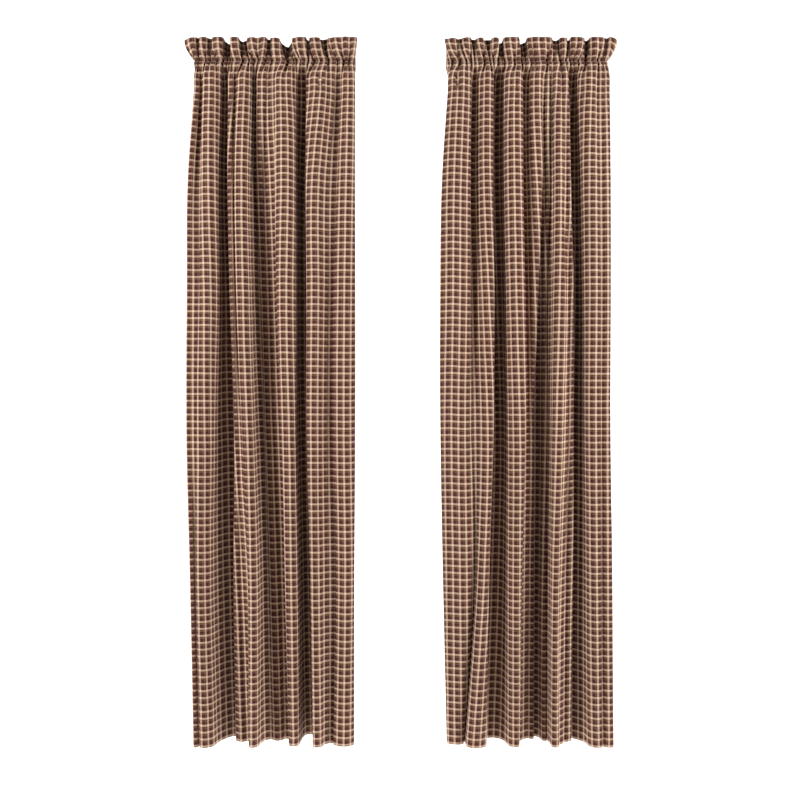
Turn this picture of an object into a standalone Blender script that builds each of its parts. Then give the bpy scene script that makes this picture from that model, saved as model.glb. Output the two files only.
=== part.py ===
"""Pair of rod pocket curtains, gathered and hung, with nothing in their pockets.

Metres, +Z up, fronts facing -Y. The origin is on the centre line of the empty rod
channel that runs through both headings, midway between the two curtains.

Each curtain is one cut length of checked cotton. Its top is turned down and stitched
twice: the upper seam closes the frill, the lower seam closes the rod pocket. The
heading (frill and pocket, two layers) and the panel (the single layer that drops
below the pocket) are separate solids with a hair's gap at the lower seam.
"""

from collections import namedtuple

import bmesh
import bpy
import numpy as np

# Driving dimensions, in metres
MM = 0.001
CUT_WIDTH = 1.016
DROP = 2.134
FRILL_TOP = 0.093
UPPER_SEAM = 0.021
LOWER_SEAM = -0.071
HEM = FRILL_TOP - DROP
CLOTH = 0.002
SEAM_GAP = 0.0003
CHANNEL_RADIUS = 0.0135
CUTTER_LENGTH = 0.75

# How the cloth bends: lengths in metres, the rest are shares and counts
SHOULDER = 0.007
SHOULDER_SHARE = 0.3
FLANK = 0.75
MOUND = 0.003
MOUND_SHARE = 0.06
EDGE_TURN = 0.008
EDGE_LEAN = 0.28
DEEPEST = 0.16
FRILL_DEPTH = 0.7
PUCKERS = 15
BACK_PUCKERS = 17
BACK_PHASE = 1.3
PUCKER_WANDER = 0.9
WANDER_TURNS = 3
PUCKER_TAKE = 0.15
PUCKER_FADE = 0.12
PANEL_WAVER = 0.0025

# How finely the solids are cut up
COLUMNS = 84
CREST_STEPS = 8
VALLEY_STEPS = 48
HALVINGS = 40
CHANNEL_SIDES = 20
PANEL_ROWS = (0.0, 0.035, 0.10, 0.22, 0.36, 0.50, 0.62, 0.73, 0.83, 0.92, 1.0)

# Heights at which the fold tables give the crests
STATIONS = (LOWER_SEAM, -0.548, -1.058, -1.598, HEM)

# A crest of the drop: (left, right, stands back) in mm at each station, then the
# cloth from its middle to the next crest's at the pocket and at the hem, and how far
# that valley leans right
Crest = namedtuple("Crest", "pocket upper middle lower hem cloth hem_cloth lean")

LEFT_EDGE_CLOTH = 112
LEFT_CRESTS = (
    Crest((-626, -549, 0), (-642, -543, 0), (-644, -555, 2), (-633, -567, 0), (-624, -567, 0), 238, 238, 2),
    Crest((-504, -451, 4), (-510, -450, 5), (-492, -441, 6), (-465, -423, 2), (-453, -423, 0), 226, 226, -6),
    Crest((-381, -321, 0), (-375, -316, 4), (-354, -312, 6), (-339, -306, 4), (-330, -308, 2), 190, 190, -4),
    Crest((-284, -234, 2), (-284, -237, 2), (-279, -234, 5), (-276, -234, 9), (-267, -234, 13), 162, 162, 0),
    Crest((-180, -138, 4), (-207, -138, 8), (-204, -135, 12), (-201, -141, 18), (-201, -144, 24), 88, 88, 0),
)

RIGHT_EDGE_CLOTH = 92
RIGHT_CRESTS = (
    Crest((141, 213, 0), (120, 219, 0), (118, 226, 6), (132, 216, 18), (146, 188, 34), 148, 140, 10),
    Crest((236, 276, 4), (241, 276, 2), (244, 267, 0), (235, 264, 0), (208, 255, 0), 200, 203, 0),
    Crest((318, 368, 0), (322, 368, 0), (321, 368, 0), (333, 370, 0), (338, 363, 0), 135, 90, 4),
    Crest((393, 447, 2), (390, 429, 12), (381, 402, 26), (378, 399, 32), (378, 396, 36), 120, 163, 2),
    Crest((455, 508, 2), (453, 492, 0), (452, 495, 0), (447, 498, 0), (448, 480, 0), 211, 218, 0),
    Crest((538, 621, 0), (543, 627, 0), (552, 624, 2), (558, 633, 2), (588, 638, 0), 110, 110, 0),
)

# A ruffle of the frill's top edge: left, right and how far it stands back in mm, then
# the cloth from its middle to the next ruffle's
Ruffle = namedtuple("Ruffle", "left right back cloth")

LEFT_FRILL_EDGE = 57
LEFT_FRILL = (
    Ruffle(-651, -594, 4, 119),
    Ruffle(-579, -543, 0, 141),
    Ruffle(-510, -468, -4, 129),
    Ruffle(-456, -390, -2, 134),
    Ruffle(-366, -345, 6, 78),
    Ruffle(-330, -300, 2, 117),
    Ruffle(-285, -225, 0, 171),
    Ruffle(-204, -132, 0, 70),
)

RIGHT_FRILL_EDGE = 73
RIGHT_FRILL = (
    Ruffle(132, 207, 0, 177),
    Ruffle(234, 285, 4, 155),
    Ruffle(315, 363, 0, 141),
    Ruffle(384, 438, 2, 100),
    Ruffle(450, 474, 8, 100),
    Ruffle(504, 522, 2, 122),
    Ruffle(545, 606, 0, 124),
    Ruffle(627, 651, -4, 24),
)

# Left and right end of each upper seam, in mm
LEFT_SEAM = (-621, -141)
RIGHT_SEAM = (138, 621)

# A level of the heading: its height in metres, half its thickness in mm, the share of
# the frill's ruffles and of the drop's folds there, then in mm how far both faces
# waver together and how far each one swells out between the puckers
Level = namedtuple("Level", "height half ruffles folds waver swell")

HEADING_LEVELS = (
    Level(FRILL_TOP, 1.5, 1.0, 0.0, 0.5, 0.0),
    Level(0.070, 1.5, 0.75, 0.0, 1.5, 0.0),
    Level(0.045, 1.5, 0.35, 0.0, 3.0, 0.0),
    Level(UPPER_SEAM, 1.8, 0.0, 0.0, 4.0, 0.0),
    Level(0.014, 10.0, 0.0, 0.0, 1.0, 2.0),
    Level(0.007, 15.2, 0.0, 0.0, 0.0, 4.0),
    Level(-0.001, 16.8, 0.0, 0.0, 0.0, 5.0),
    Level(-0.010, 15.0, 0.0, 0.0, 0.0, 5.0),
    Level(-0.018, 10.0, 0.0, 0.08, 0.0, 4.0),
    Level(-0.030, 4.0, 0.0, 0.34, 2.0, 1.5),
    Level(-0.048, 1.6, 0.0, 0.78, 3.0, 0.0),
    Level(LOWER_SEAM, 1.5, 0.0, 1.0, 2.5, 0.0),
)

PanelCloth = namedtuple("PanelCloth", "side crests edge_cloth ruffles frill_edge seam")

CURTAINS = (
    PanelCloth("left", LEFT_CRESTS, LEFT_EDGE_CLOTH, LEFT_FRILL, LEFT_FRILL_EDGE, LEFT_SEAM),
    PanelCloth("right", RIGHT_CRESTS, RIGHT_EDGE_CLOTH, RIGHT_FRILL, RIGHT_FRILL_EDGE, RIGHT_SEAM),
)

CHECK_CLOTH = (0.29, 0.17, 0.13, 1.0)
CLOTH_ROUGHNESS = 0.9


def remove_startup_objects():
    """Empty the scene of whatever it opened with."""
    for item in list(bpy.data.objects):
        bpy.data.objects.remove(item, do_unlink=True)


def make_collection(name):
    """Return a new collection linked to the scene."""
    collection = bpy.data.collections.new(name)
    bpy.context.scene.collection.children.link(collection)
    return collection


def cloth_material(name):
    """Return a plain material in the check's overall colour."""
    material = bpy.data.materials.new(name)
    material.use_nodes = True
    shader = material.node_tree.nodes["Principled BSDF"]
    shader.inputs["Base Color"].default_value = CHECK_CLOTH
    shader.inputs["Roughness"].default_value = CLOTH_ROUGHNESS
    shader.inputs["Metallic"].default_value = 0.0
    return material


def smooth_between(stations, values, height):
    """Return a smooth value at a height from values given at falling stations."""
    stations = np.asarray(stations)
    values = np.asarray(values, dtype=float)
    slopes = np.gradient(values, stations)
    above = int(np.clip(np.sum(stations > height) - 1, 0, len(stations) - 2))
    span = stations[above + 1] - stations[above]
    t = (height - stations[above]) / span
    start = (1 + 2 * t) * (1 - t) ** 2 * values[above] + t * (1 - t) ** 2 * span * slopes[above]
    end = t * t * (3 - 2 * t) * values[above + 1] + t * t * (t - 1) * span * slopes[above + 1]
    return start + end


def crests_at(crests, height):
    """Return left, right and back of each crest at a height, in metres."""
    found = []
    for crest in crests:
        columns = np.array([crest.pocket, crest.upper, crest.middle, crest.lower, crest.hem])
        found.append([smooth_between(STATIONS, columns[:, k], height) * MM for k in range(3)])
    return found


def valley_points(start, end, depth, lean):
    """Return x and y of a valley from one crest's shoulder to the next one's."""
    t = np.linspace(0.0, 1.0, VALLEY_STEPS)
    sink = (1 - np.cos(2 * np.pi * t)) / 2
    across = t + FLANK * np.sin(4 * np.pi * t) / (4 * np.pi)
    x = start[0] + (end[0] - start[0]) * across + lean * sink
    y = start[1] + (end[1] - start[1]) * t * t * (3 - 2 * t) + depth * sink
    return x, y


def crest_points(left, right, back):
    """Return x and y of the gentle mound between a crest's shoulders."""
    reach = np.linspace(-1.0, 1.0, 2 * CREST_STEPS + 1)
    x = (left + right) / 2 + (right - left) / 2 * reach
    rise = min(MOUND, MOUND_SHARE * (right - left))
    y = back - rise * (1 + np.cos(np.pi * reach)) / 2
    return x, y


def edge_points(shoulder, depth, outward):
    """Return x and y of the free edge that turns back from the last crest."""
    t = np.linspace(0.0, 0.5, VALLEY_STEPS // 2)
    sink = (1 - np.cos(2 * np.pi * t)) / 2
    across = t + FLANK * np.sin(4 * np.pi * t) / (4 * np.pi)
    width = 2 * (SHOULDER + EDGE_TURN)
    x = shoulder[0] + outward * (width * across - EDGE_LEAN * depth * sink)
    return x, shoulder[1] + depth * sink


def length_of(points):
    """Return the length of a path given as x and y."""
    return float(np.sum(np.hypot(np.diff(points[0]), np.diff(points[1]))))


def solve_depth(make_points, cloth):
    """Return the depth at which a fold takes up the given length of cloth."""
    low, high = 0.0, DEEPEST
    for _ in range(HALVINGS):
        middle = (low + high) / 2
        if length_of(make_points(middle)) < cloth:
            low = middle
        else:
            high = middle
    return (low + high) / 2


def shoulder_of(left, right):
    """Return how far a crest's shoulders reach in from its edges."""
    return min(SHOULDER, (right - left) * SHOULDER_SHARE)


def fold_section(crests, cloths, leans, first_edge):
    """Return x and y along the cloth of one level section, and the cloth length there.

    Each fold's depth is worked out so that it takes up its own length of cloth.
    """
    mounds = []
    for left, right, back in crests:
        shoulder = shoulder_of(left, right)
        mounds.append(crest_points(left + shoulder, right - shoulder, back))
    halves = [length_of(mound) / 2 for mound in mounds]

    pieces = []
    start = (mounds[0][0][0], mounds[0][1][0])
    taken = first_edge - halves[0]
    depth = solve_depth(lambda d: edge_points(start, d, -1), taken)
    x, y = edge_points(start, depth, -1)
    pieces.append((x[::-1], y[::-1]))
    for index, mound in enumerate(mounds):
        pieces.append(mound)
        start = (mound[0][-1], mound[1][-1])
        taken = cloths[index] - halves[index]
        if index == len(mounds) - 1:
            depth = solve_depth(lambda d: edge_points(start, d, 1), taken)
            pieces.append(edge_points(start, depth, 1))
            break
        follower = mounds[index + 1]
        end = (follower[0][0], follower[1][0])
        taken -= halves[index + 1]
        lean = leans[index]
        depth = solve_depth(lambda d: valley_points(start, end, d, lean), taken)
        pieces.append(valley_points(start, end, depth, lean))

    x = np.concatenate([piece[0] for piece in pieces])
    y = np.concatenate([piece[1] for piece in pieces])
    run = np.concatenate([[0.0], np.cumsum(np.hypot(np.diff(x), np.diff(y)))])
    return x, y, run * CUT_WIDTH / run[-1]


def drop_section(curtain, height, cloth_at):
    """Return x and y of the drop's section at a height, for lengths across the cloth.

    Near the pocket the puckers take up a share of the cloth.
    """
    down = (LOWER_SEAM - height) / (LOWER_SEAM - HEM)
    left_over = (1 - PUCKER_TAKE * np.exp((height - LOWER_SEAM) / PUCKER_FADE)) * MM
    cloths = [(c.cloth + (c.hem_cloth - c.cloth) * down) * left_over for c in curtain.crests]
    leans = [crest.lean * MM for crest in curtain.crests]
    crests = crests_at(curtain.crests, height)
    x, y, run = fold_section(crests, cloths, leans, curtain.edge_cloth * left_over)
    return np.interp(cloth_at, run, x), np.interp(cloth_at, run, y) - fold_middle(y)


def frill_section(curtain, cloth_at):
    """Return x and y of the frill's top edge, for lengths across the cloth."""
    crests = [(r.left * MM, r.right * MM, r.back * MM) for r in curtain.ruffles]
    cloths = [ruffle.cloth * MM for ruffle in curtain.ruffles]
    leans = [0.0] * len(crests)
    x, y, run = fold_section(crests, cloths, leans, curtain.frill_edge * MM)
    y = (y - fold_middle(y)) * FRILL_DEPTH
    return np.interp(cloth_at, run, x), np.interp(cloth_at, run, y)


def fold_middle(y):
    """Return the depth midway between a section's crests and its valleys."""
    return (np.percentile(y, 5) + np.percentile(y, 95)) / 2


def puckers(cloth_at, turns, phase):
    """Return an uneven ripple between -1 and 1 across the cloth."""
    along = 2 * np.pi * cloth_at / CUT_WIDTH
    wander = PUCKER_WANDER * np.sin(WANDER_TURNS * along + phase)
    return np.sin(turns * along + wander + phase)


def across_cloth():
    """Return where the columns of points lie across the cloth."""
    return np.linspace(0.0, CUT_WIDTH, COLUMNS + 1)


def new_object(name, bm, collection):
    """Turn a bmesh into a smooth shaded object with its own material."""
    mesh = bpy.data.meshes.new(name)
    bm.to_mesh(mesh)
    bm.free()
    mesh.materials.append(cloth_material(name + "_cloth"))
    mesh.shade_smooth()
    item = bpy.data.objects.new(name, mesh)
    collection.objects.link(item)
    return item


def grid_of(bm, rows):
    """Add a grid of points, one list of (x, y, z) for each row, and return its verts."""
    columns = len(rows[0])
    made = bmesh.ops.create_grid(bm, x_segments=columns - 1, y_segments=len(rows) - 1, size=0.5)
    verts = made["verts"]
    for index, vert in enumerate(verts):
        vert.co = rows[index // columns][index % columns]
    return verts


def panel_rows(curtain):
    """Return the points of the drop, row by row from the lower seam to the hem."""
    cloth_at = across_cloth()
    top = LOWER_SEAM - SEAM_GAP
    rows = []
    for share in PANEL_ROWS:
        height = top + (HEM - top) * share
        x, y = drop_section(curtain, height, cloth_at)
        waver = PANEL_WAVER * np.exp((height - top) / PUCKER_FADE)
        y = y + waver * puckers(cloth_at, PUCKERS, 0.0)
        rows.append([(x[k], y[k], height) for k in range(len(cloth_at))])
    return rows


def make_panel(curtain, collection):
    """Build the single layer of cloth that drops from the pocket to the hem."""
    bm = bmesh.new()
    grid_of(bm, panel_rows(curtain))
    bmesh.ops.reverse_faces(bm, faces=bm.faces)
    panel = new_object(curtain.side + "_panel", bm, collection)
    thick = panel.modifiers.new("Cloth thickness", "SOLIDIFY")
    thick.thickness = CLOTH
    thick.offset = 0.0
    thick.use_even_offset = False
    return panel


def faces_beside(x, y, front_reach, back_reach):
    """Return the x and y of both faces of a layer that stand off its middle line."""
    along = np.hypot(np.gradient(x), np.gradient(y))
    normal_x = -np.gradient(y) / along
    normal_y = np.gradient(x) / along
    front = (x - normal_x * front_reach, y - normal_y * front_reach)
    back = (x + normal_x * back_reach, y + normal_y * back_reach)
    return front, back


def heading_rows(curtain):
    """Return the front and the back points of the heading, row by row from the top."""
    cloth_at = across_cloth()
    left, right = (end * MM for end in curtain.seam)
    seam_x = left + (right - left) * cloth_at / CUT_WIDTH
    frill_x, frill_y = frill_section(curtain, cloth_at)
    drop_x, drop_y = drop_section(curtain, LOWER_SEAM, cloth_at)
    ripple = puckers(cloth_at, PUCKERS, 0.0)
    front_swell = (1 + ripple) / 2
    back_swell = (1 + puckers(cloth_at, BACK_PUCKERS, BACK_PHASE)) / 2
    fronts, backs = [], []
    for level in HEADING_LEVELS:
        plain = 1 - level.ruffles - level.folds
        x = plain * seam_x + level.ruffles * frill_x + level.folds * drop_x
        middle = level.ruffles * frill_y + level.folds * drop_y + level.waver * MM * ripple
        front_reach = (level.half + level.swell * front_swell) * MM
        back_reach = (level.half + level.swell * back_swell) * MM
        front, back = faces_beside(x, middle, front_reach, back_reach)
        fronts.append([(front[0][k], front[1][k], level.height) for k in range(len(x))])
        backs.append([(back[0][k], back[1][k], level.height) for k in range(len(x))])
    return fronts, backs


def close_between(bm, front, back, columns, rows):
    """Join the rims of two matching grids with one strip of faces."""
    rim = list(range(columns))
    rim += [row * columns + columns - 1 for row in range(1, rows)]
    rim += [(rows - 1) * columns + column for column in range(columns - 2, -1, -1)]
    rim += [row * columns for row in range(rows - 2, 0, -1)]
    for here, there in zip(rim, rim[1:] + rim[:1]):
        bm.faces.new((front[here], front[there], back[there], back[here]))


def make_heading(curtain, collection, cutters):
    """Build the frill and the gathered pocket, with the rod channel cut right through."""
    fronts, backs = heading_rows(curtain)
    bm = bmesh.new()
    front = grid_of(bm, fronts)
    back = grid_of(bm, backs)
    close_between(bm, front, back, COLUMNS + 1, len(HEADING_LEVELS))
    bmesh.ops.recalc_face_normals(bm, faces=bm.faces)
    heading = new_object(curtain.side + "_heading", bm, collection)
    cut = heading.modifiers.new("Rod channel", "BOOLEAN")
    cut.operation = "DIFFERENCE"
    cut.solver = "EXACT"
    cut.object = channel_cutter(curtain, cutters)
    return heading


def channel_cutter(curtain, cutters):
    """Build the straight round bar that leaves the rod channel."""
    left, right = (end * MM for end in curtain.seam)
    bm = bmesh.new()
    bmesh.ops.create_cone(
        bm,
        cap_ends=True,
        segments=CHANNEL_SIDES,
        radius1=CHANNEL_RADIUS,
        radius2=CHANNEL_RADIUS,
        depth=CUTTER_LENGTH,
    )
    mesh = bpy.data.meshes.new(curtain.side + "_channel")
    bm.to_mesh(mesh)
    bm.free()
    cutter = bpy.data.objects.new(curtain.side + "_channel", mesh)
    cutter.location = ((left + right) / 2, 0.0, 0.0)
    cutter.rotation_euler = (0.0, np.pi / 2, 0.0)
    cutter.hide_render = True
    cutter.display_type = "WIRE"
    cutters.objects.link(cutter)
    return cutter


def main():
    """Build both curtains, each a heading and a panel."""
    remove_startup_objects()
    parts = make_collection("rod_pocket_curtains")
    cutters = make_collection("cutters")
    for curtain in CURTAINS:
        make_heading(curtain, parts, cutters)
        make_panel(curtain, parts)


main()
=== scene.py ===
"""The looks of a pair of rod pocket curtains: checked cotton, gathered and hung.

Metres, +Z up, fronts facing -Y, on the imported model's frame. Each curtain is one cut
length of cloth. Its points are named by where they lie on the flat cloth: so far across
from the left selvedge, and so far down from the fold at the top of the frill. The fold
tables give the crests of the drop and of the frill in millimetres, and every fold takes
up its own length of cloth, so the woven check runs true over it.
"""

import logging
import math
from collections.abc import Callable, Sequence
from dataclasses import dataclass, field
from enum import Enum

import bpy
import numpy as np
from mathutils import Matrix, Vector


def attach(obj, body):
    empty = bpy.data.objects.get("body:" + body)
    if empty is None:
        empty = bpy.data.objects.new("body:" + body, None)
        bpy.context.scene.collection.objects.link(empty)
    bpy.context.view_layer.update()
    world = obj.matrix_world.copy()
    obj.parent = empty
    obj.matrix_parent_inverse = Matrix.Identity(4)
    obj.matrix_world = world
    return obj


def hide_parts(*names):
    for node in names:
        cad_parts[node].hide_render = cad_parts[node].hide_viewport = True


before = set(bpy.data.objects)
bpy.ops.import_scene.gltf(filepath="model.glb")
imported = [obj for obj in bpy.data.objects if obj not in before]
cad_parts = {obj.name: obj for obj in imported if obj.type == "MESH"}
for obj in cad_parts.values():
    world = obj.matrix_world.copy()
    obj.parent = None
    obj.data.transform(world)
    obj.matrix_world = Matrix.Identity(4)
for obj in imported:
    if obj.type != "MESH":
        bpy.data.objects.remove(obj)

MM = 0.001
log = logging.getLogger("curtains")

Curve = tuple[np.ndarray, np.ndarray]
Colour = tuple[float, float, float, float]


class Side(Enum):
    """The two curtains of the pair, as seen from the front."""

    LEFT = "left"
    RIGHT = "right"


class Yarn(Enum):
    """The dyed yarns of the check."""

    CREAM = (0.80, 0.58, 0.425, 1.0)
    KHAKI = (0.36, 0.21, 0.10, 1.0)
    TAN = (0.40, 0.19, 0.11, 1.0)
    BOTTLE = (0.029, 0.019, 0.014, 1.0)
    BURGUNDY = (0.078, 0.014, 0.014, 1.0)


@dataclass(frozen=True)
class Crest:
    """A crest of the drop, in mm, at each of the heights in CREST_HEIGHTS.

    Each place is its left, its right, how far back it stands, and the cloth from its
    middle to the next crest's, or to the right edge.
    """

    places: tuple[tuple[float, float, float, float], ...]


@dataclass(frozen=True)
class Ruffle:
    """A ruffle of the frill's top edge, and the cloth to the next one's middle, in mm."""

    left: float
    right: float
    back: float
    cloth: float


@dataclass(frozen=True)
class Crease:
    """A soft trough down the cloth, or a ridge where its depth is negative, in mm.

    high and low are its place across at its top and its foot.
    """

    high: float
    low: float
    top: float
    foot: float
    width: float
    depth: float


@dataclass(frozen=True)
class Level:
    """What the heading is like at one height, in mm, with its shares of each kind of fold.

    pinch is how far each layer stands off the middle between them, and front and back are
    how far each bulges round the rod channel.
    """

    height: float
    pinch: float
    front: float
    back: float
    ruffles: float
    folds: float
    puckers: float
    depth: float


def smooth_between(stations: np.ndarray, values: np.ndarray, height: float) -> np.ndarray:
    """Read a smooth value between rows of values given at falling stations.

    Args:
        stations: the heights of the rows, falling.
        values: one row of values for each station.
        height: the height to read at.

    Returns:
        The row of values at that height.
    """
    slopes = np.gradient(values, stations, axis=0)
    above = int(np.clip(np.sum(stations > height) - 1, 0, len(stations) - 2))
    span = stations[above + 1] - stations[above]
    t = (height - stations[above]) / span
    start = (1 + 2 * t) * (1 - t) ** 2 * values[above] + t * (1 - t) ** 2 * span * slopes[above]
    end = t * t * (3 - 2 * t) * values[above + 1] + t * t * (t - 1) * span * slopes[above + 1]
    return start + end


def ease(share: np.ndarray | float) -> np.ndarray | float:
    """Ease a share between 0 and 1 in and out."""
    held = np.clip(share, 0.0, 1.0)
    return held * held * (3 - 2 * held)


@dataclass(frozen=True)
class FoldShape:
    """How the cotton bends across a level section. Lengths in metres, the rest shares."""

    shoulder: float = 0.0022
    shoulder_share: float = 0.15
    flank: float = 0.95
    floor: float = 0.8
    mound: float = 0.013
    mound_share: float = 0.22
    roundness: float = 2.6
    edge_width: float = 0.018
    edge_flank: float = 0.75
    edge_lean: float = 0.28
    deepest: float = 0.16
    crest_steps: int = 12
    valley_steps: int = 64
    halvings: int = 34

    def across(self, t: np.ndarray) -> np.ndarray:
        """Slow the way across a valley on its flanks, so that they stand steep."""
        steep = self.flank * np.sin(4 * np.pi * t) / (4 * np.pi)
        return t + steep - self.floor * np.sin(2 * np.pi * t) / (2 * np.pi)

    def valley(self, start: Sequence[float], end: Sequence[float], depth: float, lean: float) -> Curve:
        """Trace a valley from one crest's shoulder to the next one's.

        Args:
            start: x and y of the shoulder on its left.
            end: x and y of the shoulder on its right.
            depth: how far back its bottom lies.
            lean: how far its bottom leans right.

        Returns:
            The x and y of its points.
        """
        t = np.linspace(0.0, 1.0, self.valley_steps)
        sink = (1 - np.cos(2 * np.pi * t)) / 2
        x = start[0] + (end[0] - start[0]) * self.across(t) + lean * sink
        y = start[1] + (end[1] - start[1]) * t * t * (3 - 2 * t) + depth * sink
        return x, y

    def crest(self, left: float, right: float, back: float) -> Curve:
        """Trace the gentle mound between a crest's shoulders.

        Args:
            left: x of its left shoulder.
            right: x of its right shoulder.
            back: y of both shoulders.

        Returns:
            The x and y of its points.
        """
        reach = np.linspace(-1.0, 1.0, 2 * self.crest_steps + 1)
        x = (left + right) / 2 + (right - left) / 2 * reach
        rise = min(self.mound, self.mound_share * (right - left))
        return x, back - rise * (1 - np.abs(reach) ** self.roundness)

    def edge(self, shoulder: Sequence[float], depth: float, outward: int) -> Curve:
        """Trace the free edge that turns back from the last crest.

        Args:
            shoulder: x and y of the shoulder that it turns back from.
            depth: how far back it reaches.
            outward: 1 where it lies right of the shoulder, -1 where it lies left.

        Returns:
            The x and y of its points.
        """
        t = np.linspace(0.0, 0.5, self.valley_steps // 2)
        sink = (1 - np.cos(2 * np.pi * t)) / 2
        across = t + self.edge_flank * np.sin(4 * np.pi * t) / (4 * np.pi)
        x = shoulder[0] + outward * (self.edge_width * across - self.edge_lean * depth * sink)
        return x, shoulder[1] + depth * sink

    def depth_for(self, make: Callable[[float], Curve], cloth: float) -> float:
        """Find the depth at which a fold takes up a length of cloth.

        Args:
            make: traces the fold at a depth.
            cloth: the length that it takes up.

        Returns:
            The depth.
        """
        low, high = 0.0, self.deepest
        for _ in range(self.halvings):
            middle = (low + high) / 2
            if length_of(make(middle)) < cloth:
                low = middle
            else:
                high = middle
        return (low + high) / 2

    def section(
        self,
        crests: Sequence[Sequence[float]],
        cloths: Sequence[float],
        leans: Sequence[float],
        first_edge: float,
    ) -> tuple[np.ndarray, np.ndarray, np.ndarray]:
        """Trace one level section of the cloth, from its left edge to its right one.

        Args:
            crests: left, right and how far back each crest stands.
            cloths: the cloth from each crest's middle to the next one's.
            leans: how far each valley leans right, as a share of its width.
            first_edge: the cloth from the left edge to the first crest's middle.

        Returns:
            The x, the y and the length of cloth so far of its points.
        """
        mounds = []
        for left, right, back in crests:
            shoulder = min(self.shoulder, (right - left) * self.shoulder_share)
            mounds.append(self.crest(left + shoulder, right - shoulder, back))
        halves = [length_of(mound) / 2 for mound in mounds]
        start = (mounds[0][0][0], mounds[0][1][0])
        depth = self.depth_for(lambda d: self.edge(start, d, -1), first_edge - halves[0])
        x, y = self.edge(start, depth, -1)
        parts = [(x[::-1], y[::-1])]
        for index, mound in enumerate(mounds):
            parts.append(mound)
            parts.append(self.after(mounds, halves, index, cloths[index], leans[index]))
        x = np.concatenate([part[0] for part in parts])
        y = np.concatenate([part[1] for part in parts])
        run = np.concatenate([[0.0], np.cumsum(np.hypot(np.diff(x), np.diff(y)))])
        return x, y, run

    def after(
        self, mounds: list[Curve], halves: list[float], index: int, cloth: float, lean: float
    ) -> Curve:
        """Trace what follows a crest: a valley, or the right edge after the last one.

        Args:
            mounds: all the crests' mounds.
            halves: half the cloth in each mound.
            index: the crest that it follows.
            cloth: the cloth from that crest's middle to the next one's, or to the edge.
            lean: how far the valley leans right, as a share of its width.

        Returns:
            The x and y of its points.
        """
        start = (mounds[index][0][-1], mounds[index][1][-1])
        taken = cloth - halves[index]
        if index == len(mounds) - 1:
            depth = self.depth_for(lambda d: self.edge(start, d, 1), taken)
            return self.edge(start, depth, 1)
        end = (mounds[index + 1][0][0], mounds[index + 1][1][0])
        taken -= halves[index + 1]
        lean *= end[0] - start[0]
        depth = self.depth_for(lambda d: self.valley(start, end, d, lean), taken)
        return self.valley(start, end, depth, lean)


def length_of(points: Curve) -> float:
    """Measure a path given as x and y."""
    return float(np.sum(np.hypot(np.diff(points[0]), np.diff(points[1]))))


@dataclass(frozen=True)
class CutLength:
    """One curtain's cut length of cloth and the way it is gathered and hangs, in mm."""

    side: Side
    seam: tuple[float, float]
    lean: float
    crests: tuple[Crest, ...]
    edge_cloth: tuple[float, ...]
    ruffles: tuple[Ruffle, ...]
    frill_edge: float
    creases: tuple[Crease, ...]
    phase: float


CREST_HEIGHTS = (-71.0, -337.0, -697.0, -1087.0, -1537.0, -2041.0)

LEFT_CLOTH = CutLength(
    side=Side.LEFT,
    seam=(-621, -141),
    lean=0.2,
    crests=(
        Crest((
            (-625, -608, 0, 78), (-640, -628, 0, 74), (-643, -629, 0, 62),
            (-643, -629, 0, 46), (-632, -620, 0, 42), (-622, -607, 0, 42),
        )),
        Crest((
            (-600, -551, 0, 153), (-600, -557, 0, 179), (-606, -558, 0, 193),
            (-613, -576, 0, 208), (-614, -583, 0, 185), (-603, -572, 0, 179),
        )),
        Crest((
            (-521, -507, 6, 68), (-520, -506, 3, 46), (-512, -499, 4, 44),
            (-498, -488, 22, 45), (-504, -486, 42, 80), (-498, -471, 46, 84),
        )),
        Crest((
            (-498, -455, 0, 130), (-500, -462, 0, 116), (-494, -458, 0, 116),
            (-478, -448, 4, 118), (-458, -432, 2, 110), (-456, -434, 0, 110),
        )),
        Crest((
            (-436, -406, 12, 88), (-439, -412, 34, 102), (-427, -407, 54, 110),
            (-412, -393, 52, 108), (-400, -378, 54, 110), (-391, -364, 54, 112),
        )),
        Crest((
            (-381, -324, 0, 208), (-377, -324, 2, 226), (-372, -323, 5, 218),
            (-356, -322, 5, 218), (-347, -316, 7, 216), (-336, -314, 10, 216),
        )),
        Crest((
            (-284, -215, 0, 135), (-285, -232, 5, 117), (-282, -238, 3, 117),
            (-281, -242, 1, 117), (-270, -246, 0, 117), (-262, -243, 0, 117),
        )),
        Crest((
            (-180, -138, 4, 86), (-190, -138, 8, 86), (-201, -137, 10, 86),
            (-204, -137, 12, 86), (-193, -140, 16, 86), (-202, -141, 20, 86),
        )),
    ),
    edge_cloth=(70, 70, 70, 70, 70, 70),
    ruffles=(
        Ruffle(-653, -614, 4, 60),
        Ruffle(-607, -586, -2, 75),
        Ruffle(-568, -538, 0, 135),
        Ruffle(-513, -492, -4, 130),
        Ruffle(-463, -406, -2, 90),
        Ruffle(-395, -371, 10, 150),
        Ruffle(-325, -286, 0, 95),
        Ruffle(-277, -247, 2, 125),
        Ruffle(-219, -132, 0, 106),
    ),
    frill_edge=50,
    creases=(
        Crease(-244, -246, -14, -100, 8, 9),
        Crease(-352, -350, 88, 24, 7, 10),
        Crease(-430, -424, 92, 50, 8, 8),
    ),
    phase=0.0,
)

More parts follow.
